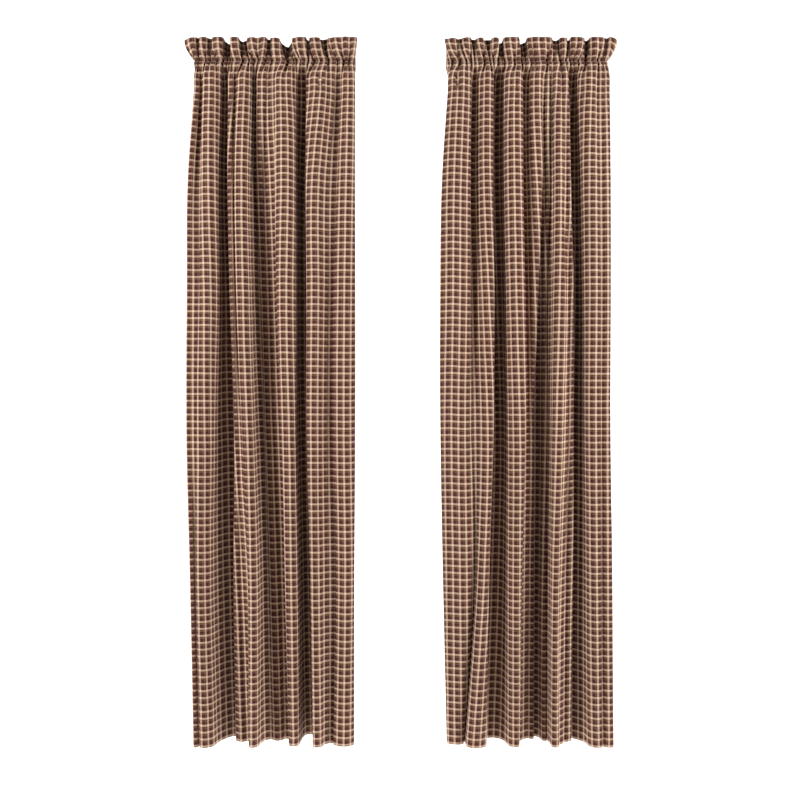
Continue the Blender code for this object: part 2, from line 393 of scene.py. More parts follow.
RIGHT_CLOTH = CutLength(
    side=Side.RIGHT,
    seam=(144, 621),
    lean=-0.2,
    crests=(
        Crest((
            (141, 211, 0, 148), (123, 208, 2, 148), (117, 208, 4, 135),
            (118, 210, 8, 110), (126, 220, 16, 104), (138, 191, 26, 128),
        )),
        Crest((
            (239, 277, 0, 200), (240, 275, 0, 200), (243, 278, 0, 213),
            (242, 275, 0, 224), (230, 260, 0, 222), (194, 251, 0, 208),
        )),
        Crest((
            (317, 367, 0, 134), (318, 367, 0, 120), (325, 373, 0, 96),
            (330, 374, 0, 88), (333, 361, 0, 96), (336, 354, 0, 100),
        )),
        Crest((
            (392, 426, 6, 48), (389, 427, 16, 60), (389, 416, 28, 60),
            (391, 403, 44, 80), (391, 406, 56, 83), (388, 406, 62, 90),
        )),
        Crest((
            (434, 448, 4, 52), (440, 452, 22, 60), (430, 445, 40, 90),
            (434, 446, 48, 88), (431, 443, 52, 86), (433, 443, 48, 83),
        )),
        Crest((
            (459, 486, 0, 34), (462, 489, 0, 34), (459, 494, 0, 56),
            (454, 486, 0, 58), (451, 474, 0, 62), (451, 472, 0, 62),
        )),
        Crest((
            (491, 506, 1, 178), (496, 510, 8, 186), (505, 522, 24, 164),
            (502, 520, 24, 162), (496, 518, 28, 153), (494, 512, 30, 147),
        )),
        Crest((
            (539, 589, 0, 66), (552, 595, 0, 48), (558, 601, 0, 42),
            (562, 602, 2, 42), (567, 602, 2, 44), (571, 604, 0, 46),
        )),
        Crest((
            (608, 629, 2, 64), (604, 630, 0, 68), (607, 630, 0, 68),
            (607, 628, 0, 66), (607, 633, 0, 64), (610, 637, 0, 64),
        )),
    ),
    edge_cloth=(92, 92, 92, 98, 102, 88),
    ruffles=(
        Ruffle(132, 165, 0, 70),
        Ruffle(186, 210, 0, 75),
        Ruffle(229, 247, 4, 85),
        Ruffle(277, 295, 4, 120),
        Ruffle(310, 355, 0, 165),
        Ruffle(382, 454, 0, 115),
        Ruffle(482, 503, 6, 90),
        Ruffle(511, 553, 0, 120),
        Ruffle(571, 613, 0, 70),
        Ruffle(626, 651, -4, 36),
    ),
    frill_edge=70,
    creases=(
        Crease(168, 168, -24, -90, 8, 8),
        Crease(346, 344, -30, -200, 8, 6),
        Crease(420, 418, 88, 40, 8, 8),
    ),
    phase=1.7,
)

FRILL_TOP = 93.0
UPPER_SEAM = 21.0
LOWER_SEAM = -71.0
HEM = -2041.0

LEVELS = (
    Level(FRILL_TOP, 0.7, 0.0, 0.0, 1.0, 0.0, 0.0, 0.0),
    Level(84, 1.5, 2.0, 1.5, 0.95, 0.0, 0.24, 0.0),
    Level(68, 1.8, 4.0, 2.5, 0.82, 0.0, 0.50, 0.0),
    Level(48, 1.8, 5.0, 3.0, 0.56, 0.0, 0.82, 0.0),
    Level(33, 1.4, 4.0, 2.5, 0.26, 0.0, 0.96, 0.0),
    Level(UPPER_SEAM, 0.7, 0.0, 0.0, 0.0, 0.0, 1.0, 0.0),
    Level(16, 0.8, 8.0, 6.5, 0.0, 0.0, 1.0, 0.0),
    Level(9, 0.8, 15.5, 14.0, 0.0, 0.04, 0.90, 0.3),
    Level(1, 0.8, 17.5, 16.5, 0.0, 0.20, 0.80, 0.5),
    Level(-7, 0.8, 16.0, 15.0, 0.0, 0.38, 0.70, 0.6),
    Level(-15, 0.8, 11.5, 10.0, 0.0, 0.62, 0.62, 0.74),
    Level(-24, 0.8, 7.0, 5.0, 0.0, 0.82, 0.55, 0.85),
    Level(-36, 0.8, 3.2, 2.2, 0.0, 0.95, 0.48, 0.90),
    Level(-52, 0.7, 0.8, 0.6, 0.0, 1.0, 0.42, 0.93),
    Level(LOWER_SEAM, 0.7, 0.0, 0.0, 0.0, 1.0, 0.34, 0.95),
    Level(-110, 0.7, 0.0, 0.0, 0.0, 1.0, 0.20, 0.97),
    Level(-180, 0.7, 0.0, 0.0, 0.0, 1.0, 0.04, 0.99),
    Level(-320, 0.7, 0.0, 0.0, 0.0, 1.0, 0.0, 1.0),
    Level(-600, 0.7, 0.0, 0.0, 0.0, 1.0, 0.0, 1.0),
)


@dataclass
class Drape:
    """Where every point of one curtain's cloth hangs.

    Rows run down the cloth and columns across it. cut_width and pucker_stagger are in
    metres, and the rod's radius, the heights, the distances over which things fade and
    over_fold, the cloth that the top fold takes, are in millimetres. A crease starts and
    ends over shares of its own length, and even_rows is how evenly the drop's rows lie.
    """

    cloth: CutLength
    cut_width: float = 1.016
    columns: int = 361
    frill_rows: int = 22
    pocket_rows: int = 34
    drop_rows: int = 127
    even_rows: float = 0.35
    puckers: int = 34
    pucker_valley: float = 0.4
    gather_window: int = 31
    gather_follows: float = 0.75
    pucker_take: float = 0.15
    pucker_stagger: float = 0.0012
    crease_start: float = 0.25
    crease_end: float = 0.6
    back_creased_below: float = -40.0
    over_fold: float = 0.4
    let_down_window: int = 23
    let_down_share: float = 0.4
    upright_percent: float = 40.0
    lowest_percent: float = 30.0
    least_drop: float = 0.35
    notch_share: float = 0.7
    pucker_fade: float = 120.0
    rod_radius: float = 10.0
    rod_fade: float = 8.0
    bends: FoldShape = field(default_factory=FoldShape)

    def __post_init__(self) -> None:
        """Hang the cloth: set out its rows, fold them, then let each thread down."""
        self.u = np.linspace(0.0, self.cut_width, self.columns)
        self.heights = self.row_heights()
        self.levels = np.array([list(vars(level).values()) for level in LEVELS])
        self.gather = self.gather_section()
        self.frill = self.frill_section()
        self.lay_rows()
        self.add_creases()
        self.let_down()

    def row_heights(self) -> np.ndarray:
        """Set the rows out from the frill's top to the hem, closer by the seams.

        Returns:
            The rows' heights in mm.
        """
        frill = np.linspace(FRILL_TOP, UPPER_SEAM, self.frill_rows)
        pocket = np.linspace(UPPER_SEAM, LOWER_SEAM, self.pocket_rows)
        t = np.linspace(0.0, 1.0, self.drop_rows)
        down = self.even_rows * t + (1 - self.even_rows) * t * t
        drop = LOWER_SEAM + (HEM - LOWER_SEAM) * down
        return np.concatenate([frill, pocket[1:], drop[1:]])

    @property
    def seam_row(self) -> int:
        """The row of the upper seam."""
        return self.frill_rows - 1

    @property
    def pocket_row(self) -> int:
        """The row of the lower seam, which the heading and the panel share."""
        return self.frill_rows + self.pocket_rows - 2

    def at_level(self, height: float) -> np.ndarray:
        """Read what the heading is like at a height.

        Args:
            height: the height, in mm.

        Returns:
            Its pinch, front, back, ruffles, folds, puckers and depth, as in Level.
        """
        held = max(height, self.levels[-1, 0])
        read = smooth_between(self.levels[:, 0], self.levels[:, 1:], held)
        return np.clip(read, 0.0, [np.inf, np.inf, np.inf, 1.0, 1.0, 1.0, 1.0])

    def on_cloth(self, x: np.ndarray, y: np.ndarray, run: np.ndarray) -> Curve:
        """Read a traced section at the columns' places on the cloth."""
        along = run * self.cut_width / run[-1]
        return np.interp(self.u, along, x), np.interp(self.u, along, y)

    def gather_section(self) -> Curve:
        """Trace the fine puckers of the upper seam, fewer over the crests than beside them.

        Returns:
            The x and y of the columns.
        """
        order = np.arange(self.puckers) + self.cloth.phase
        sizes = 1.0 + 0.4 * np.sin(2.4 * order) + 0.3 * np.sin(5.3 * order + 1.0)
        cloths = self.cut_width * sizes / np.sum(sizes)
        ends = self.gathered_to(np.concatenate([[0.0], np.cumsum(cloths)]))
        share = self.pucker_valley * (1.0 + 0.3 * np.sin(3.7 * order))
        crests = []
        for index in range(self.puckers):
            inset = (ends[index + 1] - ends[index]) * share[index] / 2
            back = self.pucker_stagger * math.sin(1.9 * order[index])
            crests.append((ends[index] + inset, ends[index + 1] - inset, back))
        x, y, run = self.bends.section(crests, cloths, np.zeros(self.puckers), cloths[0] / 2)
        x, y = self.on_cloth(x, y, run)
        return x, y - middle_of(y)

    def gathered_to(self, along: np.ndarray) -> np.ndarray:
        """Say where places across the cloth are gathered to at the seam.

        A part of the gathering is even, and the rest follows the folds below.

        Args:
            along: the places, as distances across the flat cloth.

        Returns:
            The x of each.
        """
        left, right = (end * MM for end in self.cloth.seam)
        even = left + (right - left) * self.u / self.cut_width
        window = np.hanning(self.gather_window)
        padded = np.pad(self.drop_section(LOWER_SEAM)[0], self.gather_window // 2, mode="edge")
        follows = np.maximum.accumulate(np.convolve(padded, window / np.sum(window), mode="valid"))
        follows = left + (right - left) * (follows - follows[0]) / (follows[-1] - follows[0])
        return np.interp(along, self.u, even + (follows - even) * self.gather_follows)

    def frill_section(self) -> Curve:
        """Trace the ruffles of the frill's top edge.

        Returns:
            The x and y of the columns.
        """
        crests = [(r.left * MM, r.right * MM, r.back * MM) for r in self.cloth.ruffles]
        cloths = [ruffle.cloth * MM for ruffle in self.cloth.ruffles]
        first_edge = self.cloth.frill_edge * MM
        x, y, run = self.bends.section(crests, cloths, np.zeros(len(crests)), first_edge)
        x, y = self.on_cloth(x, y, run)
        return x, y - middle_of(y)

    def drop_section(self, height: float) -> Curve:
        """Trace the hanging folds at a height.

        Args:
            height: the height, in mm.

        Returns:
            The x and y of the columns.
        """
        left_over = (1 - self.pucker_take * math.exp((height - LOWER_SEAM) / self.pucker_fade)) * MM
        stations = np.array(CREST_HEIGHTS)
        crests, cloths = [], []
        for crest in self.cloth.crests:
            places = np.array(crest.places, dtype=float)
            left, right, back, cloth = smooth_between(stations, places, height)
            crests.append((left * MM, right * MM, back * MM))
            cloths.append(cloth * left_over)
        edges = np.array(self.cloth.edge_cloth, dtype=float)
        first_edge = float(smooth_between(stations, edges, height)) * left_over
        leans = np.full(len(crests), self.cloth.lean)
        x, y, run = self.bends.section(crests, cloths, leans, first_edge)
        x, y = self.on_cloth(x, y, run)
        return x, y - middle_of(y)

    def lay_rows(self) -> None:
        """Fold every row: the front layer all the way down, and the heading's back layer."""
        fronts, backs = [], []
        for height in self.heights:
            pinch, front, back, ruffles, folds, puckers, depth = self.at_level(height)
            drop = self.drop_section(min(height, LOWER_SEAM)) if folds > 0.0 else self.gather
            plain = 1.0 - ruffles - folds
            x = plain * self.gather[0] + ruffles * self.frill[0] + folds * drop[0]
            y = puckers * self.gather[1] + ruffles * self.frill[1] + folds * depth * drop[1]
            y = y + self.crumple(height)
            along = np.hypot(np.gradient(x), np.gradient(y))
            beside = (-np.gradient(y) / along * pinch * MM, np.gradient(x) / along * pinch * MM)
            share, room = self.rod_room(height)
            front_y, back_y = y - beside[1] - front * MM, y + beside[1] + back * MM
            fronts.append((x - beside[0], front_y - share * np.maximum(front_y + room, 0.0)))
            backs.append((x + beside[0], back_y + share * np.maximum(room - back_y, 0.0)))
        self.x = np.array([row[0] for row in fronts])
        self.y = np.array([row[1] for row in fronts])
        self.back_x = np.array([row[0] for row in backs])
        self.back_y = np.array([row[1] for row in backs])

    def rod_room(self, height: float) -> tuple[float, float]:
        """Say how firmly and how far a rod would hold each layer off the middle at a height."""
        share = float(ease((self.rod_fade + self.rod_radius - abs(height)) / self.rod_fade))
        return share, math.sqrt(max(self.rod_radius**2 - height**2, 0.0)) * MM

    def crumple(self, height: float) -> np.ndarray:
        """Give the cotton's slight unevenness, well under a millimetre.

        Args:
            height: the height, in mm.

        Returns:
            How far back it brings each column.
        """
        down = height * MM
        wave = np.sin(31 * self.u + 5.1 * down + self.cloth.phase) * np.sin(7 * self.u - 9.3 * down)
        fine = np.sin(83 * self.u - 14 * down + 2 * self.cloth.phase) * np.sin(19 * self.u + 23 * down)
        return (0.5 * wave + 0.25 * fine) * MM

    def add_creases(self) -> None:
        """Press each crease of the table into the rows that it crosses."""
        shift = np.zeros_like(self.y)
        for crease in self.cloth.creases:
            rows = np.flatnonzero((self.heights <= crease.top) & (self.heights >= crease.foot))
            t = (crease.top - self.heights[rows]) / (crease.top - crease.foot)
            x = (crease.high + (crease.low - crease.high) * t) * MM
            centre = np.array([self.cloth_under(place, row) for place, row in zip(x, rows)])
            centre = np.polyval(np.polyfit(t, centre, 2), t)
            starts = ease(t / self.crease_start) if crease.top < UPPER_SEAM else np.ones_like(t)
            depth = starts * ease((1 - t) / self.crease_end) * crease.depth * MM
            off = (self.u - centre[:, None]) / (crease.width * MM)
            shift[rows] += depth[:, None] * np.exp(-(off**2))
        self.y = self.y + shift
        rows = self.heights[:, None]
        below = (self.back_creased_below - rows) / (self.back_creased_below - LOWER_SEAM)
        self.back_y = self.back_y + shift * np.where(rows >= UPPER_SEAM, 1.0, ease(below))

    def cloth_under(self, x: float, row: int) -> float:
        """Find the place on the cloth that shows in front.

        Args:
            x: where it shows.
            row: the row to look in.

        Returns:
            How far across the flat cloth the place is.
        """
        off = np.abs(self.x[row] - x)
        near = np.flatnonzero(off <= max(4 * MM, off.min() * 1.01))
        return float(self.u[near[np.argmin(self.y[row][near])]])

    def let_down(self) -> None:
        """Let each lengthwise thread down by its own length from the upper seam.

        A thread that slants goes less far up or down than an upright one, which gives the
        frill its notches and lifts the hem a little in the valleys.
        """
        move = np.hypot(np.diff(self.x, axis=0), np.diff(self.y, axis=0))
        drops = -np.diff(self.heights * MM)
        typical = np.percentile(move, self.upright_percent, axis=1)
        typical[: self.seam_row] = 0.0
        lengths = np.hypot(drops, typical)
        least = (self.least_drop * drops[:, None]) ** 2
        steps = np.sqrt(np.maximum(lengths[:, None] ** 2 - move**2, least))
        z = np.zeros_like(self.x)
        z[self.seam_row] = UPPER_SEAM * MM
        for row in range(self.seam_row, 0, -1):
            z[row - 1] = z[row] + steps[row - 1]
        for row in range(self.seam_row, len(self.heights) - 1):
            z[row + 1] = z[row] - steps[row]
        z[self.seam_row :] = self.evened(z[self.seam_row :])
        stands = self.heights[: self.seam_row, None] * MM
        z[: self.seam_row] = stands + (z[: self.seam_row] - stands) * self.notch_share
        below = np.clip((LOWER_SEAM - self.heights) / (LOWER_SEAM - HEM), 0.0, 1.0)
        self.z = z + (HEM * MM - np.percentile(z[-1], self.lowest_percent)) * below[:, None]
        self.v = np.concatenate([[0.0], np.cumsum(lengths)])

    def evened(self, z: np.ndarray) -> np.ndarray:
        """Even out how far neighbouring threads are let down, because the weft holds them.

        Args:
            z: the threads' heights by row and column.

        Returns:
            The evened heights.
        """
        window = np.hanning(self.let_down_window)
        reach = self.let_down_window // 2
        padded = np.pad(z, ((0, 0), (reach, reach)), mode="edge")
        evened = np.array([np.convolve(row, window / np.sum(window), mode="valid") for row in padded])
        level = np.percentile(evened, self.lowest_percent, axis=1)[:, None]
        return level + (evened - level) * self.let_down_share

    def heading_sheet(self) -> "Sheet":
        """Give the heading's cloth: up the front from the lower seam, and down the back.

        Returns:
            The sheet.
        """
        rows = slice(0, self.pocket_row + 1)
        front = np.stack([self.x[rows], self.y[rows], self.z[rows]], axis=-1)[::-1]
        back = np.stack([self.back_x[rows], self.back_y[rows], self.z[rows]], axis=-1)
        fold = (front[-1:] + back[:1]) / 2 + np.array([0.0, 0.0, 0.5 * MM])
        points = np.concatenate([front, fold, back])
        over = self.over_fold * MM
        v = np.concatenate([self.v[rows][::-1] + over, [0.0], -self.v[rows] - over])
        return Sheet(points, self.u, v)

    def panel_sheet(self) -> "Sheet":
        """Give the drop's cloth, from the hem up to the lower seam.

        Returns:
            The sheet.
        """
        rows = slice(self.pocket_row, None)
        points = np.stack([self.x[rows], self.y[rows], self.z[rows]], axis=-1)[::-1]
        return Sheet(points, self.u, self.v[rows][::-1] + self.over_fold * MM)


def middle_of(y: np.ndarray) -> float:
    """Find the depth midway between a section's crests and its valleys."""
    return float(np.percentile(y, 5) + np.percentile(y, 95)) / 2


@dataclass
class Sheet:
    """A hung sheet: its points by row and column, and where those lie on the flat cloth."""

    points: np.ndarray
    u: np.ndarray
    v: np.ndarray

    @property
    def flat(self) -> tuple[float, float]:
        """The width and length that the sheet was cut to."""
        return float(np.ptp(self.u)), float(np.ptp(self.v))

    def at(self, u: np.ndarray, v: np.ndarray) -> np.ndarray:
        """Find where places on the flat cloth hang.

        Args:
            u: how far across each place is.
            v: how far down each place is.

        Returns:
            One point for each place.
        """
        rising = self.v[::-1]
        rows = len(self.v) - 1 - np.interp(v, rising, np.arange(len(rising)))
        cols = np.interp(u, self.u, np.arange(len(self.u)))
        row = np.clip(rows.astype(int), 0, len(self.v) - 2)
        col = np.clip(cols.astype(int), 0, len(self.u) - 2)
        fr, fc = (rows - row)[:, None], (cols - col)[:, None]
        p = self.points
        upper = p[row, col] * (1 - fc) + p[row, col + 1] * fc
        lower = p[row + 1, col] * (1 - fc) + p[row + 1, col + 1] * fc
        return upper * (1 - fr) + lower * fr


def deselect_all() -> None:
    """Leave edit mode and clear the selection."""
    if bpy.context.object and bpy.context.object.mode != "OBJECT":
        bpy.ops.object.mode_set(mode="OBJECT")
    bpy.ops.object.select_all(action="DESELECT")


@dataclass(frozen=True)
class ClothMaker:
    """Turns a hung sheet into a mesh of real thickness, thicker where it is hemmed."""

    thickness: float = 0.0016
    single_share: float = 0.4
    uv_name: str = "Cloth"

    def make(self, name: str, sheet: Sheet, hems: np.ndarray | None = None) -> bpy.types.Object:
        """Lay out a flat grid, hang its points and give it its thickness.

        Args:
            name: the piece's name.
            sheet: where the points hang.
            hems: for each point 1 where the cloth is turned under, else 0.

        Returns:
            The finished piece.
        """
        rows, columns = sheet.points.shape[:2]
        deselect_all()
        bpy.ops.mesh.primitive_grid_add(x_subdivisions=columns - 1, y_subdivisions=rows - 1, size=1.0)
        piece = bpy.context.object
        piece.name = name
        piece.data.name = name
        piece.data.vertices.foreach_set("co", sheet.points.astype(np.float32).ravel())
        self.lay_uvs(piece.data, sheet)
        group = piece.vertex_groups.new(name="Turned under")
        if hems is not None:
            group.add([int(index) for index in np.flatnonzero(hems.ravel() > 0.5)], 1.0, "REPLACE")
        bpy.ops.object.modifier_add(type="SOLIDIFY")
        thick = piece.modifiers[-1]
        thick.thickness = self.thickness
        thick.offset = -1.0
        thick.vertex_group = group.name
        thick.thickness_vertex_group = self.single_share
        bpy.ops.object.modifier_apply(modifier=thick.name)
        bpy.ops.object.shade_smooth_by_angle(angle=math.radians(75))
        return piece

    def lay_uvs(self, mesh: bpy.types.Mesh, sheet: Sheet) -> None:
        """Map the mesh with the places on the flat cloth, in metres.

        Args:
            mesh: a grid with the sheet's rows and columns.
            sheet: where its points lie on the flat cloth.
        """
        layer = mesh.uv_layers[0]
        layer.name = self.uv_name
        corners = np.empty(len(mesh.loops), dtype=np.int32)
        mesh.loops.foreach_get("vertex_index", corners)
        columns = len(sheet.u)
        places = np.stack([sheet.u[corners % columns], -sheet.v[corners // columns]], axis=-1)
        layer.uv.foreach_set("vector", places.astype(np.float32).ravel())


@dataclass(frozen=True)
class SewingRow:
    """Rows of lockstitch, as short lengths of thread, in metres.

    rounding, and how far a stitch's middle stands proud of the cloth, are shares of its
    own size.
    """

    stitch: float = 0.0028
    gap: float = 0.0007
    thread: float = 0.00042
    sides: int = 5
    rounding: float = 0.16
    proud: float = 0.25

    def starts(self, length: float) -> np.ndarray:
        """Space the stitches along a row of a given length."""
        pitch = self.stitch + self.gap
        return np.arange(pitch, length - pitch, pitch)

    def make(self, name: str, runs: Sequence[tuple[np.ndarray, np.ndarray]]) -> bpy.types.Object:
        """Model one stitch and copy it along the rows.

        Args:
            name: the piece's name.
            runs: for each row, the ends of its stitches as an array (stitch, end, xyz), and
                the direction that faces away from the cloth at each.

        Returns:
            All the stitches as one piece.
        """
        deselect_all()
        bpy.ops.mesh.primitive_cylinder_add(vertices=self.sides, radius=0.5, depth=1.0)
        model = bpy.context.object
        bpy.ops.object.mode_set(mode="EDIT")
        bpy.ops.mesh.select_all(action="SELECT")
        bpy.ops.mesh.bevel(offset=self.rounding, segments=1, affect="EDGES", clamp_overlap=True)
        bpy.ops.object.mode_set(mode="OBJECT")
        corners = np.array([vertex.co for vertex in model.data.vertices])
        faces = [list(face.vertices) for face in model.data.polygons]
        bpy.data.objects.remove(model, do_unlink=True)

        points, polygons, count = [], [], 0
        for ends, outward in runs:
            for (start, end), away in zip(ends, outward):
                along = end - start
                reach = np.linalg.norm(along)
                away = away - along * (away @ along) / reach**2
                away = away / np.linalg.norm(away)
                beside = np.cross(along / reach, away)
                middle = (start + end) / 2 + away * self.thread * self.proud
                local = corners[:, :1] * beside * self.thread + corners[:, 1:2] * away * self.thread
                points.append(middle + local + corners[:, 2:3] * along)
                polygons += [[count + index for index in face] for face in faces]
                count += len(corners)
        mesh = bpy.data.meshes.new(name)
        mesh.from_pydata(np.concatenate(points).tolist(), [], polygons)
        piece = bpy.data.objects.new(name, mesh)
        bpy.context.scene.collection.objects.link(piece)
        piece.select_set(True)
        bpy.context.view_layer.objects.active = piece
        bpy.ops.object.mode_set(mode="EDIT")
        bpy.ops.mesh.select_all(action="SELECT")
        bpy.ops.mesh.normals_make_consistent(inside=False)
        bpy.ops.object.mode_set(mode="OBJECT")
        bpy.ops.object.shade_smooth()
        return piece

    def across(self, sheet: Sheet, v: float, margin: float = 0.004) -> tuple[np.ndarray, np.ndarray]:
        """Set out a row of stitches across the cloth.

        Args:
            sheet: the cloth that it is sewn in.
            v: how far down the cloth it runs.
            margin: how far it stays off both edges.

        Returns:
            The ends of the stitches and the direction away from the cloth at each.
        """
        width = sheet.flat[0] - 2 * margin
        u = self.starts(width) + margin
        return self.between(sheet, u, np.full_like(u, v), u + self.stitch, np.full_like(u, v))

    def down(self, sheet: Sheet, u: float, high: float, low: float) -> tuple[np.ndarray, np.ndarray]:
        """Set out a row of stitches down the cloth at one distance across it."""
        v = self.starts(low - high) + high
        return self.between(sheet, np.full_like(v, u), v, np.full_like(v, u), v + self.stitch)

    def between(
        self, sheet: Sheet, u0: np.ndarray, v0: np.ndarray, u1: np.ndarray, v1: np.ndarray
    ) -> tuple[np.ndarray, np.ndarray]:
        """Set out stitches between places on the flat cloth.

        Args:
            sheet: the cloth that they are sewn in.
            u0: how far across each starts.
            v0: how far down each starts.
            u1: how far across each ends.
            v1: how far down each ends.

        Returns:
            The ends of the stitches and the direction away from the cloth at each.
        """
        start, end = sheet.at(u0, v0), sheet.at(u1, v1)
        u, v, reach = (u0 + u1) / 2, (v0 + v1) / 2, 1.5 * MM
        across = sheet.at(u + reach, v) - sheet.at(u - reach, v)
        down = sheet.at(u, v + reach) - sheet.at(u, v - reach)
        away = np.cross(down, across)
        return np.stack([start, end], axis=1), away / np.linalg.norm(away, axis=1, keepdims=True)


class Value:
    """A number that varies over a surface. Python's operators add the Math nodes."""

    def __init__(self, nodes: "Nodes", socket: bpy.types.NodeSocket) -> None:
        """Wrap a socket of a node tree."""
        self.nodes = nodes
        self.socket = socket

    def math(self, operation: str, *inputs: "Value | float") -> "Value":
        """Add a Math node with this operation on these inputs."""
        node = self.nodes.add("ShaderNodeMath", {"operation": operation}, dict(enumerate(inputs)))
        return Value(self.nodes, node.outputs[0])

    def __add__(self, other: "Value | float") -> "Value":
        """Add."""
        return self.math("ADD", self, other)

    def __radd__(self, other: float) -> "Value":
        """Add, from the right."""
        return self.math("ADD", other, self)

    def __sub__(self, other: "Value | float") -> "Value":
        """Subtract."""
        return self.math("SUBTRACT", self, other)

    def __rsub__(self, other: float) -> "Value":
        """Subtract from a number."""
        return self.math("SUBTRACT", other, self)

    def __mul__(self, other: "Value | float") -> "Value":
        """Multiply."""
        return self.math("MULTIPLY", self, other)

    def __rmul__(self, other: float) -> "Value":
        """Multiply, from the right."""
        return self.math("MULTIPLY", other, self)

    def __truediv__(self, other: "Value | float") -> "Value":
        """Divide."""
        return self.math("DIVIDE", self, other)

    def __rtruediv__(self, other: float) -> "Value":
        """Divide a number."""
        return self.math("DIVIDE", other, self)

    def sine(self) -> "Value":
        """Take the sine."""
        return self.math("SINE", self)

    def size(self) -> "Value":
        """Drop the sign."""
        return self.math("ABSOLUTE", self)

    def fraction(self) -> "Value":
        """Keep what is past the whole number."""
        return self.math("FRACT", self)

    def held(self) -> "Value":
        """Hold between 0 and 1."""
        node = self.nodes.add("ShaderNodeClamp", {}, {"Value": self})
        return Value(self.nodes, node.outputs[0])


class Nodes:
    """A material's node tree, and the one way in which nodes are added to it."""

    def __init__(self, name: str) -> None:
        """Start a material with its Principled BSDF.

        Args:
            name: the material's name.
        """
        self.material = bpy.data.materials.new(name)
        self.material.use_nodes = True
        self.tree = self.material.node_tree
        self.shader = self.tree.nodes["Principled BSDF"]

    def add(self, kind: str, settings: dict, inputs: dict) -> bpy.types.Node:
        """Add a node.

        Args:
            kind: the node's type.
            settings: its properties, or stops for a ramp as (place, colour) pairs.
            inputs: a value or a link for each named or numbered socket.

        Returns:
            The new node.
        """
        node = self.tree.nodes.new(kind)
        for name, setting in settings.items():
            if name == "stops":
                self.set_stops(node.color_ramp, setting)
            else:
                setattr(node, name, setting)
        for name, given in inputs.items():
            self.feed(node.inputs[name], given)
        return node

    def feed(
        self, socket: bpy.types.NodeSocket, given: "Value | bpy.types.NodeSocket | float | Colour"
    ) -> None:
        """Link a socket, or set its value.

        Args:
            socket: the input to feed.
            given: what to link to it, or its value.
        """
        if isinstance(given, Value):
            self.tree.links.new(given.socket, socket)
        elif isinstance(given, bpy.types.NodeSocket):
            self.tree.links.new(given, socket)
        else:
            socket.default_value = given

    @staticmethod
    def set_stops(ramp: bpy.types.ColorRamp, stops: Sequence[tuple[float, Colour]]) -> None:
        """Give a ramp its stops, each holding its colour up to the next.

        Args:
            ramp: the ramp.
            stops: the place and the colour of each stop.
        """
        ramp.interpolation = "CONSTANT"
        while len(ramp.elements) < len(stops):
            ramp.elements.new(1.0)
        for element, (place, colour) in zip(ramp.elements, stops):
            element.position = place
            element.color = colour

    def noise(self, place: bpy.types.NodeSocket, scale: float, detail: float = 2.0) -> Value:
        """Read smooth noise between 0 and 1 at a place."""
        node = self.add("ShaderNodeTexNoise", {}, {"Vector": place, "Scale": scale, "Detail": detail})
        return Value(self, node.outputs["Fac"])

    def mix(
        self,
        share: "Value | float",
        first: "bpy.types.NodeSocket | Colour",
        second: "bpy.types.NodeSocket | Colour",
        blend: str = "MIX",
    ) -> bpy.types.NodeSocket:
        """Mix two colours.

        Args:
            share: how much of the second to take.
            first: one colour.
            second: the other.
            blend: how the second is laid on the first.

        Returns:
            The mixed colour.
        """
        settings = {"data_type": "RGBA", "blend_type": blend}
        return self.add("ShaderNodeMix", settings, {0: share, 6: first, 7: second}).outputs[2]

    def grey(self, value: Value) -> bpy.types.NodeSocket:
        """Turn a value into a colour to multiply with."""
        return self.add("ShaderNodeCombineColor", {}, {0: value, 1: value, 2: value}).outputs[0]


